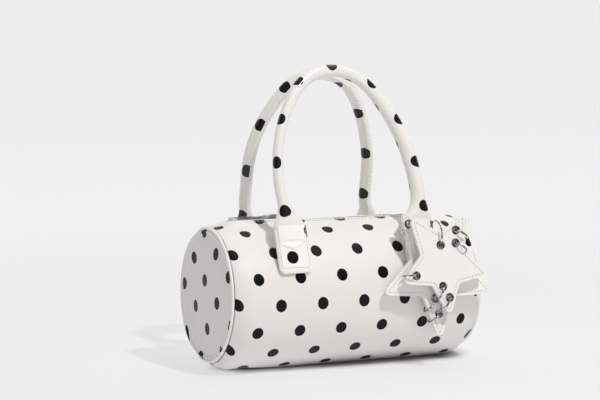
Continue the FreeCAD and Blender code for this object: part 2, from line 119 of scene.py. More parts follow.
# Shader maths
class Value:
    """A socket that takes part in sums, each of which adds a Math node."""

    def __init__(self, tree, socket):
        self.tree = tree
        self.socket = socket

    def math(self, operation, *others):
        """One Math node, with this value first."""
        node = self.tree.nodes.new("ShaderNodeMath")
        node.operation = operation
        for place, value in zip(node.inputs, (self,) + others):
            plug(self.tree, place, value)
        return Value(self.tree, node.outputs[0])

    def __add__(self, other):
        return self.math("ADD", other)

    def __sub__(self, other):
        return self.math("SUBTRACT", other)

    def __mul__(self, other):
        return self.math("MULTIPLY", other)

    def __rsub__(self, other):
        return (self * -1) + other

    __radd__ = __add__
    __rmul__ = __mul__

    def clamped(self):
        """Held between 0 and 1."""
        return self.math("MINIMUM", 1.0).math("MAXIMUM", 0.0)

    def eased(self):
        """A share from 0 to 1 that starts and ends softly."""
        return self * self * (3 - self * 2)


def plug(tree, place, value):
    """Set a socket's value, or link it to another socket."""
    if isinstance(value, Value):
        tree.links.new(value.socket, place)
    else:
        place.default_value = value


class Finish:
    """One material, its shader and the nodes that feed it."""

    def __init__(self, name, colour, roughness, **constants):
        self.material = bpy.data.materials.new(name)
        self.material.use_nodes = True
        self.tree = self.material.node_tree
        self.shader = next(node for node in self.tree.nodes if node.type == "BSDF_PRINCIPLED")
        self.set("Base Color", (*colour, 1))
        self.set("Roughness", roughness)
        for key, value in constants.items():
            self.set(key.replace("_", " ").title().replace("Ior", "IOR"), value)

    def set(self, socket, value):
        """Set or link an input of the shader."""
        plug(self.tree, self.shader.inputs[socket], value)

    def node(self, kind, output, settings, sockets):
        """Any node: its settings are set first, then its sockets."""
        node = self.tree.nodes.new(kind)
        for key, value in settings.items():
            setattr(node, key, value)
        for key, value in sockets.items():
            plug(self.tree, node.inputs[key], value)
        return Value(self.tree, node.outputs[output])

    def place(self):
        """The piece's own coordinates, in metres."""
        return self.node("ShaderNodeTexCoord", "Object", {}, {})

    def cloud(self, scale, detail=2.0):
        """Soft noise between 0 and 1."""
        return self.node("ShaderNodeTexNoise", "Fac", {},
                         {"Vector": self.place(), "Scale": scale, "Detail": detail})

    def split(self, vector):
        """The three parts of a vector."""
        node = self.node("ShaderNodeSeparateXYZ", 0, {}, {"Vector": vector}).socket.node
        return [Value(self.tree, output) for output in node.outputs]

    def blend(self, share, first, last):
        """Mix two colours."""
        return self.node("ShaderNodeMix", 2, {"data_type": "RGBA"}, {0: share, 6: first, 7: last})

    def shaded(self, share, tint, darker):
        """Blend a colour with a darker shade of itself."""
        return self.blend(share, (*[channel * darker for channel in tint], 1), (*tint, 1))

    def bump(self, height, distance, strength):
        """Raise the surface by a height, without moving it."""
        normal = self.node("ShaderNodeBump", "Normal", {},
                           {"Height": height, "Distance": distance, "Strength": strength})
        self.set("Normal", normal)

    def dots(self, origin, along, across, half_sizes):
        """A mask of staggered dots over the pattern map, whose numbers are millimetres."""
        u, v, _ = self.split(self.node("ShaderNodeUVMap", "UV", {"uv_map": "pattern"}, {}))
        u, v = u - origin[0], v - origin[1]
        area = along[0] * across[1] - along[1] * across[0]
        first = u * (across[1] / area) + v * (-across[0] / area)
        last = v * (along[0] / area) + u * (-along[1] / area)
        edge_sharpness = 40.0
        masks = []
        for shift in (0.5, 1.0):
            i = (first + shift).math("FRACT") - 0.5
            j = (last + shift).math("FRACT") - 0.5
            wide = (i * along[0] + j * across[0]) * (1 / half_sizes[0])
            tall = (i * along[1] + j * across[1]) * (1 / half_sizes[1])
            reach = (wide * wide + tall * tall).math("SQRT")
            masks.append(((1 - reach) * edge_sharpness + 0.5).clamped())
        return masks[0].math("MAXIMUM", masks[1])


def leather(name, lattice=None, gloss=0.2, painted_brightness=1.0, coat=0.0):
    """Smooth coated leather with a fine grain, printed with dots where a lattice is given. A brightness
    factor paints light (above 1) or shade (below 1) into its colour.
    """
    colours = bpy.context.scene.bag_colours
    # Painted light or shade: the same leather is made lighter or darker by a factor, not by the lamps
    base = tuple(channel * painted_brightness for channel in colours.leather)
    usual_rough, least_rough, rough_spread, smoother_dots = 0.42, 0.36, 0.10, 0.12
    finish = Finish(name, base, usual_rough, specular_ior_level=gloss, coat_weight=coat, coat_roughness=0.16)
    paint = finish.shaded(finish.cloud(scale=22.0, detail=3.0), base, darker=0.955)
    grain = finish.cloud(scale=1500.0)
    pebble = finish.node("ShaderNodeTexVoronoi", "Distance", {"feature": "SMOOTH_F1"},
                         {"Vector": finish.place(), "Scale": 900.0, "Smoothness": 0.6})
    rough = finish.cloud(scale=70.0) * rough_spread + least_rough
    if lattice:
        mask = finish.dots(*lattice)
        paint = finish.blend(mask, paint, (*colours.dot, 1))
        rough = rough - mask * smoother_dots
    finish.set("Base Color", paint)
    finish.set("Roughness", rough)
    finish.bump(pebble * 0.6 + grain * 0.4, 0.12 * MM, 0.35)
    return finish.material


def edge_paint():
    """Raw leather edges, with faint layers."""
    tint = tuple(bpy.context.scene.bag_colours.cut_edge)
    finish = Finish("cut_edge", tint, 0.6)
    fibres = finish.cloud(scale=420.0, detail=4.0)
    finish.set("Base Color", finish.shaded(fibres, tint, darker=0.86))
    finish.bump(fibres, 0.2 * MM, 0.4)
    return finish.material


def woven(name, tint, scale):
    """A plain weave seen close."""
    finish = Finish(name, tint, 0.8, sheen_weight=0.15)
    x, y, z = finish.split(finish.place())
    warp = ((x + z * 0.5) * scale).math("SINE")
    weft = ((y + z * 0.5) * scale).math("SINE")
    weave = warp * weft * 0.5 + 0.5
    finish.set("Base Color", finish.shaded(weave, tint, darker=0.78))
    finish.bump(weave, 0.15 * MM, 0.5)
    return finish.material


def plated(name, roughness, darker, patch_scale):
    """Bright plating with faint wear, and dark reflections painted in patches into its colour."""
    tint = tuple(bpy.context.scene.bag_colours.metal)
    finish = Finish(name, tint, roughness, metallic=1.0)
    wear_spread = 0.14
    wear = finish.cloud(scale=600.0, detail=3.0)
    finish.set("Roughness", wear * wear_spread + (roughness - 0.05))
    # Painted reflections: dark patches in the colour stand in for dark surroundings mirrored by the plating
    dark_share, contrast = 0.42, 5.0
    painted_reflections = ((finish.cloud(patch_scale, detail=1.0) - dark_share) * contrast).clamped()
    finish.set("Base Color", finish.shaded(painted_reflections, tint, darker))
    finish.bump(wear, 0.04 * MM, 0.3)
    return finish.material


def bright_metal():
    """The plating of eyelets, rings and the ends of the zip, with painted dark reflections."""
    return shared("plated_bright", plated, "plated_bright", 0.15, 0.16, 300.0)


def thread():
    """Twisted sewing thread."""
    tint = tuple(bpy.context.scene.bag_colours.thread)
    finish = Finish("thread", tint, 0.65)
    twist = finish.node("ShaderNodeTexWave", "Fac", {"bands_direction": "DIAGONAL"},
                        {"Vector": finish.place(), "Scale": 900.0, "Distortion": 1.0})
    finish.set("Base Color", finish.shaded(twist, tint, darker=0.8))
    finish.bump(twist, 0.1 * MM, 0.4)
    return finish.material


def shared(name, maker, *values):
    """A material made once and used by several pieces."""
    return bpy.data.materials.get(name) or maker(*values)


# Meshes
def piece(name, points, faces, body, finishes, maps=None, tints=None, crease=None):
    """A mesh that rides on a body, with its pattern map and material slots."""
    mesh = bpy.data.meshes.new(name)
    mesh.from_pydata([tuple(point) for point in points], [], faces)
    for material in finishes:
        mesh.materials.append(material)
    if tints:
        mesh.polygons.foreach_set("material_index", tints)
    mesh.polygons.foreach_set("use_smooth", [True] * len(faces))
    if maps:
        layer = mesh.uv_layers.new(name="pattern")
        layer.data.foreach_set("uv", [number for corners in maps for corner in corners for number in corner])
    mesh.update()
    if crease is not None:
        mesh.set_sharp_from_angle(angle=math.radians(crease))
    item = bpy.data.objects.new(name, mesh)
    bpy.context.scene.collection.objects.link(item)
    if body:
        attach(item, body)
    return item


def woven_faces(rows, columns, around, map_at, keep=None, flip=False):
    """Quads over a grid of points, with each corner's place on the pattern map."""
    faces, maps = [], []
    for i in range(rows - 1):
        for j in range(columns if around else columns - 1):
            if keep and not keep(i, j):
                continue
            corners = [(i, j), (i, j + 1), (i + 1, j + 1), (i + 1, j)]
            if flip:
                corners.reverse()
            faces.append([r * columns + c % columns for r, c in corners])
            maps.append([map_at(r, c) for r, c in corners])
    return faces, maps


def outward(item):
    """Turn a closed mesh's faces outwards."""
    mesh = bmesh.new()
    mesh.from_mesh(item.data)
    bmesh.ops.recalc_face_normals(mesh, faces=mesh.faces)
    mesh.to_mesh(item.data)
    mesh.free()
    return item


def modifier(item, kind, **settings):
    """Add a modifier with its settings."""
    made = item.modifiers.new(kind.title(), kind)
    for key, value in settings.items():
        setattr(made, key, value)


def bevel(item, millimetres, sharpest):
    """Soften the edges that are sharper than an angle in degrees."""
    modifier(item, "BEVEL", width=millimetres * MM, segments=2, limit_method="ANGLE",
             angle_limit=math.radians(sharpest))


def dress(item, material):
    """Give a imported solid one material."""
    item.data.materials.clear()
    item.data.materials.append(material)


def smooth_step(low, high, value):
    """0 below low, 1 above high, and smooth between."""
    share = min(max((value - low) / (high - low), 0), 1)
    return share * share * (3 - 2 * share)


def spaced(low, high, count):
    """Even steps from low to high."""
    return [low + (high - low) * n / (count - 1) for n in range(count)]


def round_turns(count):
    """Even turns once round."""
    return [full_turn * k / count for k in range(count)]


def looped(items):
    """Each item with the next one, round a loop."""
    return zip(items, items[1:] + items[:1])


def ring_points(middle, side, rise, radius, sides):
    """Points round a strand."""
    return [middle + (side * math.cos(turn) + rise * math.sin(turn)) * radius for turn in round_turns(sides)]


def ring_faces(near, far, sides):
    """Quads between two rings of points, each given by its first point."""
    return [[near + k, near + (k + 1) % sides, far + (k + 1) % sides, far + k] for k in range(sides)]


def tube(name, path, radius, body, finishes, sides=12):
    """A round strand along a closed path."""
    skew = Vector((0.13, 0.21, 0.97))
    count = len(path)
    points, faces = [], []
    for n, spot in enumerate(path):
        way = (path[(n + 1) % count] - path[n - 1]).normalized()
        side = way.cross(skew).normalized()
        points += ring_points(spot, side, side.cross(way), radius, sides)
        faces += ring_faces(n * sides, (n + 1) % count * sides, sides)
    return outward(piece(name, points, faces, body, finishes))


# A stitch: the thread's radius and sides, its lift and arch in radii, and its girth from end to end
stitch_radius = 0.25 * MM
stitch_sides = 6
stitch_lift = 0.35
stitch_arch = 0.45
stitch_stations = ((-1.0, 0.35), (-0.8, 0.85), (0.0, 1.0), (0.8, 0.85), (1.0, 0.35))


def stitches(name, runs, body, pitch):
    """Rows of stitches, a pitch in millimetres apart. Each run is a list of (point, surface normal)."""
    long_half = bpy.context.scene.bag_sizes.stitch / 2
    pitch *= MM
    points, faces = [], []
    for run in runs:
        travelled, due = 0.0, pitch / 2
        for (start, normal), (end, _) in zip(run, run[1:]):
            step = (end - start).length
            way = (end - start).normalized()
            side = normal.cross(way).normalized()
            while due <= travelled + step:
                middle = start.lerp(end, (due - travelled) / step)
                rings = []
                for along, girth in stitch_stations:
                    rings.append(len(points))
                    spine = middle + way * (along * long_half)
                    spine += normal * (stitch_radius * (stitch_lift + stitch_arch * (1 - along * along)))
                    points += ring_points(spine, side, normal, stitch_radius * girth, stitch_sides)
                for near, far in zip(rings, rings[1:]):
                    faces += ring_faces(near, far, stitch_sides)
                faces += [list(range(first, first + stitch_sides)) for first in (rings[0], rings[-1])]
                due += pitch
            travelled += step
    outward(piece(name, points, faces, body, [shared("thread", thread)]))


# The barrel
barrel_middle = 53.956 * MM

# How the wrap strays from a plain barrel: soft swells and puckers, a lifted base, tilted and tightened ends
swell_depth = 0.35 * MM
swell_fade = 20 * MM
swell_along = 16
swell_round = 1.1
pucker_depth = 0.28 * MM
pucker_reach = 4 * MM
pucker_along = 30
pucker_round = 9
left_lift = 3.4 * MM
left_lift_span = (-40 * MM, -88 * MM)
right_lift = 0.7 * MM
right_lift_span = (30 * MM, 85 * MM)
tilt_reach = 32 * MM
tilt_power = 1.5
corner_tightness = 0.68
corner_span = (0.5, 0.95)
shoulder_power = 2.3

# The wrap's grid: columns across the slot and round the rest, rows beyond the slot and along it
slot_columns = 6
round_columns = 180
end_rows = 26
slot_rows = 90

# An end from its rim to its middle, in millimetres: radius and place along the barrel
profile_seam = 52.0
end_rim = 50.2
end_profile = ((end_rim, 100.9), (49.9, 101.7), (49.3, 102.2), (48.5, 102.4), (47.6, 102.3), (46.9, 101.9),
               (46.3, 101.6), (45.5, 101.55), (44.3, 101.7), (39.0, 101.9), (32.0, 102.1), (25.0, 102.3),
               (17.0, 102.4), (9.0, 102.45), (3.0, 102.5))

# Lattices of the printed dots in millimetres: first dot, steps along and across, half width and half height
dot_step = 33.94
wrap_dots = ((-82.1, 61.5), (dot_step, 0.0), (-0.78, -40.98))
end_dots = ((0.6, 68.0), (41.8, -7.7), (-6.0, -36.2), (4.6, 4.75))
tab_dots = ((-1.9, -24.5), (32.6, 0.0), (0.0, 39.4), (4.65, 4.85))
roll_dot = (4.5, 4.7)


def seam_reach(sign):
    """How far along the barrel an end seam lies."""
    sizes = bpy.context.scene.bag_sizes
    return sizes.wrap_half + (sizes.left_reach if sign < 0 else sizes.right_reach)


def wrap_point(x, turn, inset=0.0):
    """A point of the wrap. The turn is 0 at the top and grows over the front."""
    sizes = bpy.context.scene.bag_sizes
    up, front = math.cos(turn), math.sin(turn)
    gap = seam_reach(x) - abs(x)
    radius = sizes.barrel_radius - inset
    swell = noise.noise(Vector((x * swell_along, up * swell_round, front * swell_round)))
    radius += swell_depth * swell * smooth_step(0, swell_fade, gap)
    pucker = noise.noise(Vector((up * pucker_round, front * pucker_round, x * pucker_along)))
    radius += pucker_depth * pucker * math.exp(-gap / pucker_reach)
    y = -radius * front
    z = barrel_middle + radius * up
    if up > 0:
        z += rim_height(x, y)
    raised = left_lift * smooth_step(*left_lift_span, x) + right_lift * smooth_step(*right_lift_span, x)
    z = max(z, inset + raised)
    tight = corner_tightness * smooth_step(*corner_span, -up) if x < 0 else 0.0
    share = max(0.0, 1 - gap / (sizes.shoulder * (1 - tight))) ** shoulder_power
    reach = sizes.end_radius - inset
    seam_y = -reach * front
    seam_z = barrel_middle + sizes.end_lift + reach * up
    lean = math.copysign(sizes.end_tilt, -x) * up * max(0.0, 1 - gap / tilt_reach) ** tilt_power
    return Vector((x + lean, y + (seam_y - y) * share, z + (seam_z - z) * share))


def rim_height(x, y):
    """The swell of the wrap towards the zip, and the rise of its turned edge."""
    sizes = bpy.context.scene.bag_sizes
    swell, swell_span = 0.8 * MM, (5 * MM, 50 * MM)
    left_rise, left_span = 2.0 * MM, (-62 * MM, -15 * MM)
    right_drop, right_span = 0.5 * MM, (-20 * MM, 60 * MM)
    rear_drop, rear_span = 0.7 * MM, (-5 * MM, 5 * MM)
    left_overrun, right_overrun, fade_reach = 9 * MM, 2 * MM, 15 * MM
    edge_reach, middle_dip = 15 * MM, 1.3 * MM
    broad = 1 - smooth_step(*swell_span, abs(y))
    edge = 1 - smooth_step(sizes.mouth_side, edge_reach, abs(y))
    fade_start = sizes.mouth_half + (left_overrun if x < 0 else right_overrun)
    end = 1 - smooth_step(fade_start, fade_start + fade_reach, abs(x))
    lifted = left_rise * (1 - smooth_step(*left_span, x))
    settled = right_drop * smooth_step(*right_span, x) + rear_drop * smooth_step(*rear_span, y)
    dip = middle_dip * (1 - smooth_step(0, sizes.mouth_side, abs(y)))
    return (swell * broad + (sizes.rim_rise + lifted - settled - dip - swell) * edge) * end


def print_height(girth):
    """Where the print lies round the wrap: it slips over the rise beside the zip."""
    table = ((41.0, 41.0), (63.8, 61.5), (78.5, 82.0), (140.0, 140.0))
    for (low, first), (high, last) in zip(table, table[1:]):
        if low < girth < high:
            return first + (last - first) * (girth - low) / (high - low)
    return girth


def wrap_grid():
    """Places along the wrap, and turns round it from the rear side of the slot."""
    sizes = bpy.context.scene.bag_sizes
    slot_turn = math.asin(sizes.mouth_side / sizes.barrel_radius)
    turns = spaced(-slot_turn, slot_turn, slot_columns + 1)[:-1]
    turns += spaced(slot_turn, full_turn - slot_turn, round_columns + 1)[:-1]
    stations = spaced(-seam_reach(-1), -sizes.mouth_half, end_rows + 1)[:-1]
    stations += spaced(-sizes.mouth_half, sizes.mouth_half, slot_rows + 1)[:-1]
    stations += spaced(sizes.mouth_half, seam_reach(1), end_rows + 1)
    return stations, turns


def wrap_faces(stations, turns, flip=False):
    """The faces round the barrel, without the slot, and their places on the print."""
    sizes = bpy.context.scene.bag_sizes
    right_stretch, stretch_start = 6.0, 80 * MM

    def on_print(i, j):
        turn = turns[j] if j < len(turns) else turns[0] + full_turn
        drawn_in = right_stretch * smooth_step(stretch_start, seam_reach(1), stations[i])
        return stations[i] / MM + drawn_in, print_height(sizes.barrel_radius / MM * (math.pi / 2 - turn))

    def sewn(i, j):
        inside = abs(stations[i] + stations[i + 1]) < 2 * sizes.mouth_half
        return not (inside and j < slot_columns)

    return woven_faces(len(stations), len(turns), True, on_print, sewn, flip)


def turn_edge(plain):
    """The turned edge of the slot and the stitches beside it."""
    sizes = bpy.context.scene.bag_sizes
    half, side = sizes.mouth_half, sizes.mouth_side
    bend, bend_steps, longest_step = 2 * MM, 6, 2 * MM
    edge_radius, sunk = 0.85 * MM, 0.7 * MM
    seam_gap, seam_overrun, seam_points, seam_lean = 2.6 * MM, 1 * MM, 120, 0.2
    edge = []
    for quarter, (x_sign, y_sign) in enumerate(((1, 1), (-1, 1), (-1, -1), (1, -1))):
        for step in range(bend_steps + 1):
            turn = math.radians(90 * (quarter + step / bend_steps))
            edge.append((x_sign * (half - bend) + bend * math.cos(turn),
                         y_sign * (side - bend) + bend * math.sin(turn)))
    path = []
    for (x, y), (next_x, next_y) in looped(edge):
        count = max(1, int(abs(next_x - x) / longest_step))
        for step in range(count):
            share = step / count
            at = Vector((x + (next_x - x) * share, y + (next_y - y) * share, 0))
            at.z = wrap_point(at.x, math.asin(-at.y / sizes.barrel_radius)).z - sunk
            path.append(at)
    tube("mouth_edge", path, edge_radius, "bag", [plain])
    stitch_turn = math.asin((side + seam_gap) / sizes.barrel_radius)
    runs = []
    for sign in (-1, 1):
        normal = Vector((0, -seam_lean * sign, 1)).normalized()
        places = spaced(-half - seam_overrun, half + seam_overrun, seam_points)
        runs.append([(wrap_point(x, sign * stitch_turn), normal) for x in places])
    stitches("mouth_stitches", runs, "bag", pitch=3.0)


def rear_share(turn):
    """How far a turn round an end lies on its rear side."""
    return smooth_step(0.1, 0.9, math.cos(turn))


def close_end(name, sign, end_print, plain):
    """An end panel, fuller at its rear rim, and the piping round its seam."""
    sizes = bpy.context.scene.bag_sizes
    middle = (barrel_middle + sizes.end_lift) / MM
    further = (seam_reach(sign) - sizes.wrap_half) / MM
    rear_wider, wider_start = 1.6, 44
    rear_bulge, bulge_span, bulge_start, bulge_end = 2.0, (-0.4, 0.7), (30, 46), (end_rim, 48.6)
    dome_height, dome_radius, dome_power = 1.6, 49, 2.2
    ripple_depth, ripple_scale, ripple_span = 0.35, 0.035, (50, 44)
    rear_slip, rear_slip_start = 7.0, 45
    low_slip, low_span, low_rise, low_slope = 5.0, (-34, -41), 0.7, 0.066
    columns = 144
    points, places = [], []
    for profile_radius, x in end_profile:
        rim = smooth_step(wider_start, end_rim, profile_radius)
        outer_rim = smooth_step(rear_slip_start, end_rim, profile_radius)
        band = smooth_step(*bulge_start, profile_radius) * smooth_step(*bulge_end, profile_radius)
        dome = dome_height * (1 - min(1.0, profile_radius / dome_radius) ** dome_power)
        for turn in round_turns(columns):
            rear = rear_share(turn)
            radius = (profile_radius + rear_wider * rear * rim) * sizes.end_radius / (profile_seam * MM)
            y, z = math.cos(turn) * radius, math.sin(turn) * radius
            ripple = ripple_depth * noise.noise(Vector((y * ripple_scale, z * ripple_scale, sign * 7)))
            out = x + dome + further + ripple * smooth_step(*ripple_span, radius)
            out += rear_bulge * smooth_step(*bulge_span, math.cos(turn)) * band
            out -= sizes.end_tilt / MM * z / profile_seam
            points.append(Vector((sign * out, y, z + middle)) * MM)
            low = smooth_step(*low_span, z)
            places.append((y + rear_slip * rear * outer_rim + low_slip * low,
                           z + middle + (low_rise + low_slope * y) * low))
    faces, maps = woven_faces(len(end_profile), columns, True, lambda i, j: places[i * columns + j % columns])
    last = (len(end_profile) - 1) * columns
    faces.append(list(range(last, last + columns)))
    maps.append(places[last:])
    panel = outward(piece(name + "_end", points, faces, "bag", [end_print], maps))
    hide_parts(name + "_end_panel")

    cord_place, cord_inset, cord_tuck, cord_wander = 101.75, 1.05 * MM, 1.9, 0.10 * MM
    steps_round = 240
    ring = []
    for turn in round_turns(steps_round):
        rear, up = math.cos(turn), math.sin(turn)
        reach = sizes.end_radius - cord_inset + cord_wander * noise.noise(Vector((rear * 8, up * 8, sign)))
        out = (cord_place + further - cord_tuck * rear_share(turn)) * MM - sizes.end_tilt * up
        ring.append(Vector((sign * out, rear * reach, middle * MM + up * reach)))
    cord = tube(name + "_seam_piping", ring, sizes.piping, "bag", [plain], sides=14)
    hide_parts(name + "_piping")


class BAG_OT_barrel(bpy.types.Operator):
    """Sew the wrap, its lining, the two ends and their piping."""

    bl_idname = "bag.barrel"
    bl_label = "Barrel"

    def execute(self, context):
        sizes = context.scene.bag_sizes
        plain = shared("plain_leather", leather, "plain_leather")
        wrap_print = leather("dotted_wrap", (*wrap_dots, (sizes.dot_wide / MM, sizes.dot_tall / MM)))
        # The ends are painted darker: painted shade for the shade they lie in
        end_print = leather("dotted_end", end_dots, gloss=0.08, painted_brightness=0.96)
        cloth = woven("lining_cloth", tuple(context.scene.bag_colours.lining), scale=5200.0)

        # The wrap: one sheet round the barrel, open at the zip
        stations, turns = wrap_grid()
        points = [wrap_point(x, turn) for x in stations for turn in turns]
        faces, maps = wrap_faces(stations, turns)
        wrap = piece("barrel_wrap", points, faces, "bag", [wrap_print, plain], maps)
        modifier(wrap, "SOLIDIFY", thickness=sizes.skin, offset=-1, material_offset=1, material_offset_rim=1)
        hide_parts("body_panel")
        turn_edge(plain)

        # The lining: one cloth bag inside, open at the mouth
        lining_depth, lining_half = 3.6 * MM, 98.4 * MM
        lining_stations = [x * lining_half / seam_reach(x) for x in stations]
        points = [wrap_point(x, turn, lining_depth) for x in lining_stations for turn in turns]
        faces, maps = wrap_faces(stations, turns, flip=True)
        for first in (0, (len(stations) - 1) * len(turns)):
            faces.append(list(range(first, first + len(turns))))
            maps.append([(0.0, 0.0)] * len(turns))
        lining = piece("lining", points, faces, "bag", [cloth], maps)
        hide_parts("body_board", "body_lining", "left_end_board", "left_end_lining",
                    "right_end_board", "right_end_lining")

        for name, sign in (("left", -1), ("right", 1)):
            close_end(name, sign, end_print, plain)
        return {"FINISHED"}


# The handles and their tabs
joints = {joint["name"]: joint for joint in frame["joints"]}
front_fold = Vector(joints["front_handle_fold"]["pos_m"])
rear_fold = Vector(joints["rear_handle_fold"]["pos_m"])

# Each handle's arch in millimetres, with the lean of its roll and of its tabs in degrees
arches = {
    "front": {"spread": 111.0, "tabs": 105.6, "height": 120.1, "spring": 29.6, "lean": 21.0,
              "tab_lean": 21.0},
    "rear": {"spread": 104.0, "tabs": 104.0, "height": 124.5, "spring": 43.0, "lean": 10.7,
             "tab_lean": 14.0},
}

# A roll in millimetres: depth behind the fold, sides, ridge seam, opened foot, creases and print
tab_middle = 1.7
roll_sides = 72
seam_turn = math.radians(270)
seam_twist = 0.12
seam_swing = 15
seam_lowest = 20
seam_nearest = 24
ridge_half = math.radians(46)
foot_span = (-3.0, 20.0)
foot_depth = 1.75
foot_wide_power = 1.3
foot_deep_power = 1.2
foot_squareness = 0.4
foot_square_span = (0.55, 1.0)
foot_pad = 2.1
foot_pad_span = (16.0, 0.0)
foot_pad_share = 0.97
crinkle_depth = 0.025
crinkle_along = 0.08
crinkle_round = 1.3
print_stretch = 0.75
widest_share = 0.3

# Dots of each roll: the first dot, the turn between rows, then travel, turn of the first row and shift
prints = {
    "front": (0.5, 165.0, ((-135, 66, 0.2), (-97, 52, -4.0), (-63, 32, -4.1), (-29, 33, -4.0), (0, 50, 0.5),
                           (34, 58, 0.6), (67, 58, 1.4), (101, 66, 0.5), (137, 64, -0.5))),
    "rear": (3.4, 180.0, ((-133, 327, 3.2), (-99, 300, 0.8), (-62, 306, -2.1), (-30, 318, -0.9),
                          (20, 378, 0.8), (53, 402, 1.7), (89, 402, -0.4), (122, 396, 0.0))),
}
blank_share = -0.25


def print_place(name, travel, turn):
    """Where a spot of a roll lies on its printed sheet: travel, and a share of the girth."""
    _, opposite, table = prints[name]
    if name == "front":
        opposite += 30 * (1 - smooth_step(-8, 8, travel))
    spans = list(zip(table, table[1:]))
    low, high = next((span for span in spans if travel < span[1][0]), spans[-1])
    share = min(max((travel - low[0]) / (high[0] - low[0]), 0), 1)
    first_row, shift = (low[k] + (high[k] - low[k]) * share for k in (1, 2))
    # The near side of the rear roll has no dots left of the crown
    if name == "rear" and travel < -5 and 190 < turn < 277:
        return travel + shift, blank_share
    rounds, rest = divmod(turn - first_row, 360)
    half = rest / opposite / 2 if rest < opposite else 0.5 + (rest - opposite) / (360 - opposite) / 2
    return travel + shift, rounds + half


class Leaning:
    """A flat drawing that leans over the bag from a fold line, in millimetres."""

    def __init__(self, name, lean):
        turn = math.radians(lean)
        sign = -1 if name == "rear" else 1
        self.up = Vector((0, sign * math.sin(turn), math.cos(turn)))
        self.out = Vector((0, -sign * math.cos(turn), math.sin(turn)))
        self.fold = rear_fold if name == "rear" else front_fold

    def at(self, x, up, out):
        return self.fold + Vector((x * MM, 0, 0)) + self.up * (up * MM) + self.out * (out * MM)


def handle_line(spread, tabs, height, spring):
    """The middle line of a rolled handle: (across, up, way across, way up) from foot to foot."""
    foot, tuck_span, crown_share = -2.5, (-6.0, 30.0), 0.7
    half = spread / 2
    crown = half * crown_share
    rise = height - spring
    side = (half ** 2 + (rise - crown) ** 2 - crown ** 2) / (2 * (half - crown))
    meet = math.atan2(rise - crown, side - half)
    line = []
    for up in spaced(foot, spring, 26)[:-1]:
        tucked = (half - tabs / 2) * (1 - smooth_step(*tuck_span, up))
        line.append((tucked - half, up, 0.0, 1.0))
    arcs = [(side - half, spring, side, turn) for turn in spaced(0, meet, 22)[:-1]]
    arcs += [(0.0, height - crown, crown, turn) for turn in spaced(meet, math.pi / 2, 26)]
    for x, up, radius, turn in arcs:
        way_x, way_up = math.sin(turn), math.cos(turn)
        line.append((x - radius * way_up, up + radius * way_x, way_x, way_up))
    return line + [(-x, up, way_x, -way_up) for x, up, way_x, way_up in reversed(line[:-1])]


def leg_shape(name, x, up):
    """Where a leg of a handle bows to, and how thick it is there."""
    rear_left, rear_right, front_left, front_right = 1.8, 3.0, 0.8, 1.2
    slimmer, thicker, thicker_span = 0.17, 0.2, (2.0, 22.0)
    bow_start, bow_end = (8.0, 24.0), (70.0, 116.0)
    aside_start, low_end, lowest_end = (-2.0, 12.0), (60.0, 115.0), (18.0, 45.0)
    bowed = smooth_step(*bow_start, up) * (1 - smooth_step(*bow_end, up))
    if name == "rear":
        return x - (rear_left if x < 0 else rear_right) * bowed, 1.0
    if x < 0:
        return x - front_left * bowed, 1 - slimmer * bowed
    low = 1 - smooth_step(*low_end, up)
    lowest = 1 - smooth_step(*lowest_end, up)
    aside = front_right * (low + lowest) * smooth_step(*aside_start, up)
    return x + aside, 1 + thicker * low * smooth_step(*thicker_span, up)


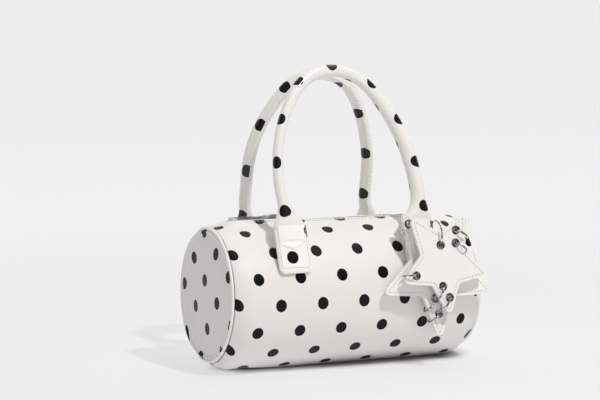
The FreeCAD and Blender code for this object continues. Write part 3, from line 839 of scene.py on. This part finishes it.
def roll_handle(name, arch):
    """One rolled handle with its ridge seam, its flared feet and its stitches."""
    sizes = bpy.context.scene.bag_sizes
    radius = sizes.roll_radius / MM
    half_tab = sizes.tab_width / MM / 2
    girth = full_turn * radius
    crinkle_start = 5 if name == "rear" else 0
    plane = Leaning(name, arch["lean"])
    line = handle_line(arch["spread"], arch["tabs"], arch["height"], arch["spring"])
    travelled = [0.0]
    for (x, up, _, _), (next_x, next_up, _, _) in zip(line, line[1:]):
        travelled.append(travelled[-1] + math.hypot(next_x - x, next_up - up))
    points, seams, stretch = [], ([], []), []
    for travel, (x, up, way_x, way_up) in zip(travelled, line):
        x, slim = leg_shape(name, x, up)
        opened = 1 - smooth_step(*foot_span, up)
        wide = radius * slim + (half_tab - radius) * opened ** foot_wide_power
        deep = radius * slim + (foot_depth - radius) * opened ** foot_deep_power
        stretch.append(1 + (wide / radius - slim) * print_stretch)
        square = 1 - foot_squareness * smooth_step(*foot_square_span, opened)
        plump = foot_pad * smooth_step(*foot_pad_span, up)
        side_share = math.tanh(x / seam_swing)
        ridge_turn = seam_turn - seam_twist * side_share
        for turn in round_turns(roll_sides):
            c, s = math.cos(turn), math.sin(turn)
            ridge = 1 / math.cos(max(0.0, ridge_half - abs(turn - ridge_turn))) - 1
            ridge = 1 + ridge * (1 - opened)
            across = wide * math.copysign(abs(c) ** square, c) * ridge
            out = deep * math.copysign(abs(s) ** square, s) * ridge
            if s > 0:
                out += plump * math.sqrt(max(0.0, 1 - (across / wide / foot_pad_share) ** 2))
            spot = Vector((travel * crinkle_along, c * crinkle_round, s * crinkle_round + crinkle_start))
            creases = noise.noise(spot)
            across *= 1 + creases * crinkle_depth
            out *= 1 + creases * crinkle_depth
            points.append(plane.at(x - way_up * across, up + way_x * across, out - tab_middle))
        if up > seam_lowest and abs(x) > seam_nearest:
            facet = ridge_turn + ridge_half * side_share
            reach = radius * slim / math.cos(ridge_half - abs(seam_turn - ridge_turn))
            side = Vector((-way_up, 0, 0)) + plane.up * way_x
            normal = side * math.cos(facet) + plane.out * math.sin(facet)
            seams[x > 0].append((plane.at(x, up, -reach - tab_middle), normal))

    def on_print(i, j):
        travel, share = print_place(name, travelled[i] - travelled[-1] / 2, 360 * j / roll_sides)
        if stretch[i] > 1.1:
            whole = round(share)
            share = whole + math.copysign(min(abs(share - whole) * stretch[i], widest_share), share - whole)
        return travel, share * girth

    faces, maps = woven_faces(len(line), roll_sides, True, on_print)
    for row in (0, len(line) - 1):
        faces.append([row * roll_sides + k for k in range(roll_sides)])
        maps.append([on_print(row, k) for k in range(roll_sides)])
    lattice = ((prints[name][0], 0.0), (dot_step, 0.0), (0.0, girth), roll_dot)
    dotted = leather(name + "_handle_leather", lattice, coat=0.6)
    body = name + "_handle"
    roll = outward(piece(name + "_handle_roll", points, faces, None, [dotted], maps))
    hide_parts(name + "_handle_cover", name + "_handle_filler")
    tuple(plane.at(0, -1.5, 0))
    tuple(plane.at(0, 9.0, 0))
    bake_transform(roll)
    stitches(name + "_handle_stitches", seams, body, pitch=3.4)


class BAG_OT_handles(bpy.types.Operator):
    """Roll the two handles, with their flared feet."""

    bl_idname = "bag.handles"
    bl_label = "Handles"

    def execute(self, context):
        for name, arch in arches.items():
            roll_handle(name, arch)
        return {"FINISHED"}


class BAG_OT_tabs(bpy.types.Operator):
    """Cut and stitch the four handle tabs."""

    bl_idname = "bag.tabs"
    bl_label = "Tabs"

    def execute(self, context):
        sizes = context.scene.bag_sizes
        top, foot = sizes.tab_width / MM / 2, sizes.tab_foot / MM / 2
        tall = sizes.tab_height / MM
        thick, corner = 3.0, 4.5
        pad_end, pad_curve, pad_half, pad_height = -12.0, 0.006, 11.6, 2.3
        pad_low_share, pad_span = 0.66, (-14, -2)
        point_x, point_up, left_slope, right_slope = 0.6, -18.8, 0.37, 0.6
        fold_half, fold_height, fold_under_share = 10.5, 1.1, 0.5
        rim_foot, rim_side, rim_drop = 3.2, 1.9, 1.3
        seam_inset, seam_foot, seam_bend, seam_top, seam_lift = 2.0, 3.9, 2.0, -1.5, 0.02
        tab_top = -0.3
        off_print = 20
        # The tabs are painted lighter: painted light for the light they catch
        dotted = leather("tab_leather", tab_dots, painted_brightness=1.12)
        edge = shared("cut_edge", edge_paint)

        def side_line(up):
            return foot + (top - foot) * smooth_step(-tall, 0, up)

        def half_width(up):
            low = up + tall
            cut = corner - math.sqrt(max(0.0, corner ** 2 - (corner - low) ** 2)) if low < corner else 0.0
            return side_line(up) - cut

        def relief(x, up):
            """The padded end of the roll, the folded point under it, and the rim that falls away."""
            end = pad_end - pad_curve * x * x
            pad = pad_height * math.sqrt(max(0.0, 1 - (x / pad_half) ** 2))
            pad *= pad_low_share + (1 - pad_low_share) * smooth_step(*pad_span, up)
            pad *= smooth_step(end - 0.4, end + 0.9, up)
            point = point_up + (left_slope if x < point_x else right_slope) * abs(x - point_x)
            fold = fold_height * smooth_step(point - 0.2, point + 0.5, up) if abs(x) < fold_half else 0.0
            fold *= 1 - fold_under_share * smooth_step(end - 4.5, end - 0.5, up)
            rim = min(1.0, (up + tall) / rim_foot, (half_width(up) - abs(x)) / rim_side)
            return max(pad, fold) - rim_drop * (1 - rim) ** 2

        # One drawing serves all four tabs: a front sheet, a back sheet and the cut edge between them
        rows, columns = 74, 45
        count = rows * columns
        drawn = []
        for up in spaced(-tall, tab_top, rows):
            drawn += [(share * half_width(up), up) for share in spaced(-1, 1, columns)]

        def on_print(i, j):
            return drawn[i * columns + j]

        faces, maps = woven_faces(rows, columns, False, on_print)
        back, back_maps = woven_faces(rows, columns, False, on_print, flip=True)
        faces += [[index + count for index in face] for face in back]
        maps += back_maps
        tints = [0] * len(faces)
        rim = [*range(columns), *range(2 * columns - 1, count, columns)]
        rim += [*range(count - 2, count - columns - 1, -1), *range(count - 2 * columns, 0, -columns)]
        for first, last in looped(rim):
            faces.append([first, last, last + count, first + count])
            maps.append([(drawn[n][0] + off_print, drawn[n][1]) for n in (first, last, last, first)])
            tints.append(1)

        # The seam runs down one side, round the corner and back up the other
        low = seam_foot - tall + seam_bend
        run = [(seam_inset - side_line(up), up) for up in spaced(seam_top, low, 26)]
        for step in range(1, 10):
            turn = math.radians(180 + step * 10)
            across = seam_inset + seam_bend - foot + seam_bend * math.cos(turn)
            run.append((across, low + seam_bend * math.sin(turn)))
        run += [(-x, up) for x, up in reversed(run)]

        for side_name, sign in (("left", -1), ("right", 1)):
            for name, arch in arches.items():
                plane = Leaning(name, arch["tab_lean"])
                middle = sign * arch["tabs"] / 2
                points = [plane.at(middle + x, up, relief(x, up)) for x, up in drawn]
                points += [plane.at(middle + x, up, -thick) for x, up in drawn]
                label = name + "_" + side_name
                tab = outward(piece(label + "_tab_leather", points, faces, "bag", [dotted, edge],
                                    maps, tints, crease=40))
                bevel(tab, 0.45, 50)
                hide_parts(label + "_tab")
                seam = [(plane.at(middle + x, up, relief(x, up) + seam_lift), plane.out) for x, up in run]
                stitches(label + "_tab_stitches", [seam], "bag", pitch=2.7)
        return {"FINISHED"}


# The zip and the charm
class BAG_OT_zip(bpy.types.Operator):
    """Finish the zip's tapes, teeth, stops, slider and puller."""

    bl_idname = "bag.zip"
    bl_label = "Zip"

    def execute(self, context):
        tape = woven("zip_tape_weave", tuple(context.scene.bag_colours.tape), scale=7000.0)
        bright = bright_metal()
        # The slider and puller carry deeper painted dark reflections
        smooth = plated("plated_smooth", roughness=0.2, darker=0.3, patch_scale=120.0)
        for node, item in frame["nodes"].items():
            if node.endswith(("zip_tape", "zip_end")):
                dress(item, tape)
            elif node.endswith(("teeth", "zip_stop")) or node in ("zip_slider", "zip_puller"):
                dress(item, bright if node.startswith(("left", "right")) else smooth)
                bevel(item, 0.22, 40)
        return {"FINISHED"}


# The charm's drawing in millimetres: tips are turns in degrees with a share of the star's radius
star_lean = 12.0
star_gap = 9.0
star_thick = 2.8
star_slack = 1.8
star_squeeze = 0.9
star_seam = 2.4
hang_x = joints["charm_swing"]["pos_m"][0] / MM
hang_up = 13.4
stars = {
    "back": {"body": "charm", "radius": 56.2, "notch": 0.45, "side": 0.3, "drop": 17.4, "depth": 0.0,
             "tips": ((-94.0, 1.0), (-22.0, 1.0), (50.0, 1.0), (122.0, 1.0), (197.5, 1.02))},
    "front": {"body": "front_star", "radius": 43.2, "notch": 0.5, "side": 1.5, "drop": 12.6,
              "depth": star_gap,
              "tips": ((-88.0, 1.0), (-16.0, 1.0), (56.0, 1.04), (128.0, 1.08), (200.0, 1.0))},
}


def star_outline(star, inset):
    """A star's ten corners in the charm's upright drawing, moved inwards by an inset."""
    corners = []
    tips = star["tips"]
    for (angle, share), (following, _) in looped(tips):
        between = angle + (following - angle) % 360 / 2
        for reach, turn in ((star["radius"] * share, angle), (star["radius"] * star["notch"], between)):
            way = Vector((star_squeeze * math.cos(math.radians(turn)), math.sin(math.radians(turn))))
            corners.append(Vector((hang_x + star["side"], hang_up - star["drop"])) + way * reach)
    lines = []
    for first, last in looped(corners):
        way = (last - first).normalized()
        lines.append((first + Vector((-way.y, way.x)) * inset, way))
    moved = []
    for (first, way), (second, turn) in zip(lines[-1:] + lines[:-1], lines):
        cross = way.x * turn.y - way.y * turn.x
        gap = second - first
        moved.append(first + way * ((gap.x * turn.y - gap.y * turn.x) / cross))
    return moved


class BAG_OT_charm(bpy.types.Operator):
    """Finish and stitch the two stars, and plate their eyelets and rings."""

    bl_idname = "bag.charm"
    bl_label = "Charm"

    def execute(self, context):
        plain = shared("plain_leather", leather, "plain_leather")
        bright = bright_metal()
        for node, item in frame["nodes"].items():
            if "_star_face" in node or "_star_backing" in node:
                dress(item, plain)
                bevel(item, 0.35, 50)
            elif node.endswith(("_ring", "eyelet", "eyelets")):
                dress(item, bright)
        drawing = Leaning("front", star_lean)
        up, out = drawing.up, drawing.out
        tab_up = Leaning("front", arches["front"]["tab_lean"]).up
        foot = front_fold - tab_up * context.scene.bag_sizes.tab_height
        place = foot + out * ((star_thick / 2 + star_slack) * MM)
        for name, star in stars.items():
            lift = (star["depth"] + star_thick / 2) * MM
            spots = []
            for corner in star_outline(star, star_seam):
                spots.append(place + Vector((corner.x * MM, 0, 0)) + up * (corner.y * MM) + out * lift)
            runs = []
            for first, last in looped(spots):
                runs.append([(first.lerp(last, share), out) for share in spaced(0.02, 0.98, 8)])
            stitches(name + "_star_stitches", runs, star["body"], pitch=2.9)
        return {"FINISHED"}


# The stage
def floor_finish():
    """A pale floor that takes shadows near the bag and glows evenly further off."""
    tint = tuple(bpy.context.scene.bag_colours.floor)
    bag_half, left_fade = 0.075, -0.15
    zones = ((0.02, 0.026), (0.15, 0.8))
    finish = Finish("pale_floor", tint, 0.9, specular_ior_level=0.1, emission_strength=1.0)
    along, across, _ = finish.split(finish.place())
    beyond = (along.math("ABSOLUTE") - bag_half).math("MAXIMUM", 0.0)
    away = (beyond * beyond + across * across).math("SQRT") + (along * left_fade).math("MAXIMUM", 0.0)
    shares = [((away - start) * (1 / run)).clamped().eased() for start, run in zones]
    near = finish.shaded(finish.cloud(scale=3.0), tint, darker=0.99)
    for socket, spots in (("Base Color", (near, 0.28, 0.08)), ("Emission Color", (0.0, 0.575, 0.795))):
        first, middle, last = ((spot,) * 3 + (1,) if isinstance(spot, float) else spot for spot in spots)
        finish.set(socket, finish.blend(shares[1], finish.blend(shares[0], first, middle), last))
    return finish.material


def lay_floor():
    """A broad floor that bends up into a wall behind the bag, in metres."""
    reach, bend_start, bend_radius, wall_top = 80.0, 1.6, 1.2, 5.0
    sunk = 0.05 * MM
    profile = [(-reach, 0.0), (bend_start, 0.0)]
    for degrees in range(6, 91, 6):
        turn = math.radians(degrees)
        profile.append((bend_start + bend_radius * math.sin(turn),
                        bend_radius - bend_radius * math.cos(turn)))
    profile.append((bend_start + bend_radius, wall_top))
    points = [Vector((x, y, z - sunk)) for y, z in profile for x in (-reach, reach)]
    faces = [[2 * n, 2 * n + 1, 2 * n + 3, 2 * n + 2] for n in range(len(profile) - 1)]
    floor = piece("floor", points, faces, None, [floor_finish()])


def aimed(name, data, place, way):
    """A light or a camera, turned to look along a way."""
    item = bpy.data.objects.new(name, data)
    item.location = place
    item.rotation_mode = "QUATERNION"
    item.rotation_quaternion = way.to_track_quat("-Z", "Y")
    bpy.context.scene.collection.objects.link(item)
    return item


class BAG_OT_stage(bpy.types.Operator):
    """Lay the floor and set the lights and the camera."""

    bl_idname = "bag.stage"
    bl_label = "Stage"

    def execute(self, context):
        scene = context.scene
        lay_floor()
        world = bpy.data.worlds.new("studio")
        scene.world = world
        world.use_nodes = True
        background = next(node for node in world.node_tree.nodes if node.type == "BACKGROUND")
        background.inputs["Color"].default_value = (1.0, 0.955, 0.9, 1)
        background.inputs["Strength"].default_value = 0.23
        target = Vector((0, 0, 0.1))
        for name, place, size, power in (
                ("key", (0.36, -1.14, 1.70), 0.1, 20.5), ("top", (0.5, 0.2, 2.2), 1.6, 13.0),
                ("fill", (-0.2, -2.2, 0.2), 1.2, 8.5)):
            light = bpy.data.lights.new(name, "AREA")
            light.size = size
            light.energy = power
            aimed(name, light, place, target - Vector(place))
        lens = bpy.data.cameras.new("photo")
        lens.lens = 144.0
        lens.sensor_width = 36.0
        view = Vector((0.4045, 0.9077, -0.1115))
        scene.camera = aimed("photo", lens, (-0.7682, -1.6641, 0.3298), view)
        scene.view_settings.view_transform = "Standard"
        return {"FINISHED"}


class BAG_PT_panel(bpy.types.Panel):
    """Sizes, colours and building steps of the bag."""

    bl_idname = "BAG_PT_panel"
    bl_label = "Barrel bag"
    bl_space_type = "VIEW_3D"
    bl_region_type = "UI"
    bl_category = "Bag"

    def draw(self, context):
        for group in (context.scene.bag_sizes, context.scene.bag_colours):
            for name in group.bl_rna.properties.keys():
                if name not in ("rna_type", "name"):
                    self.layout.prop(group, name)
        for step in steps:
            self.layout.operator(step.bl_idname)


steps = (BAG_OT_barrel, BAG_OT_handles, BAG_OT_tabs, BAG_OT_zip, BAG_OT_charm, BAG_OT_stage)
classes = (BagSizes, BagColours) + steps + (BAG_PT_panel,)


def register():
    for item in classes:
        bpy.utils.register_class(item)
    bpy.types.Scene.bag_sizes = PointerProperty(type=BagSizes)
    bpy.types.Scene.bag_colours = PointerProperty(type=BagColours)


def unregister():
    del bpy.types.Scene.bag_colours
    del bpy.types.Scene.bag_sizes
    for item in reversed(classes):
        bpy.utils.unregister_class(item)


def main():
    """Build every piece in order."""
    register()
    bpy.ops.bag.barrel()
    bpy.ops.bag.handles()
    bpy.ops.bag.tabs()
    bpy.ops.bag.zip()
    bpy.ops.bag.charm()
    bpy.ops.bag.stage()


if __name__ == "__main__":
    main()
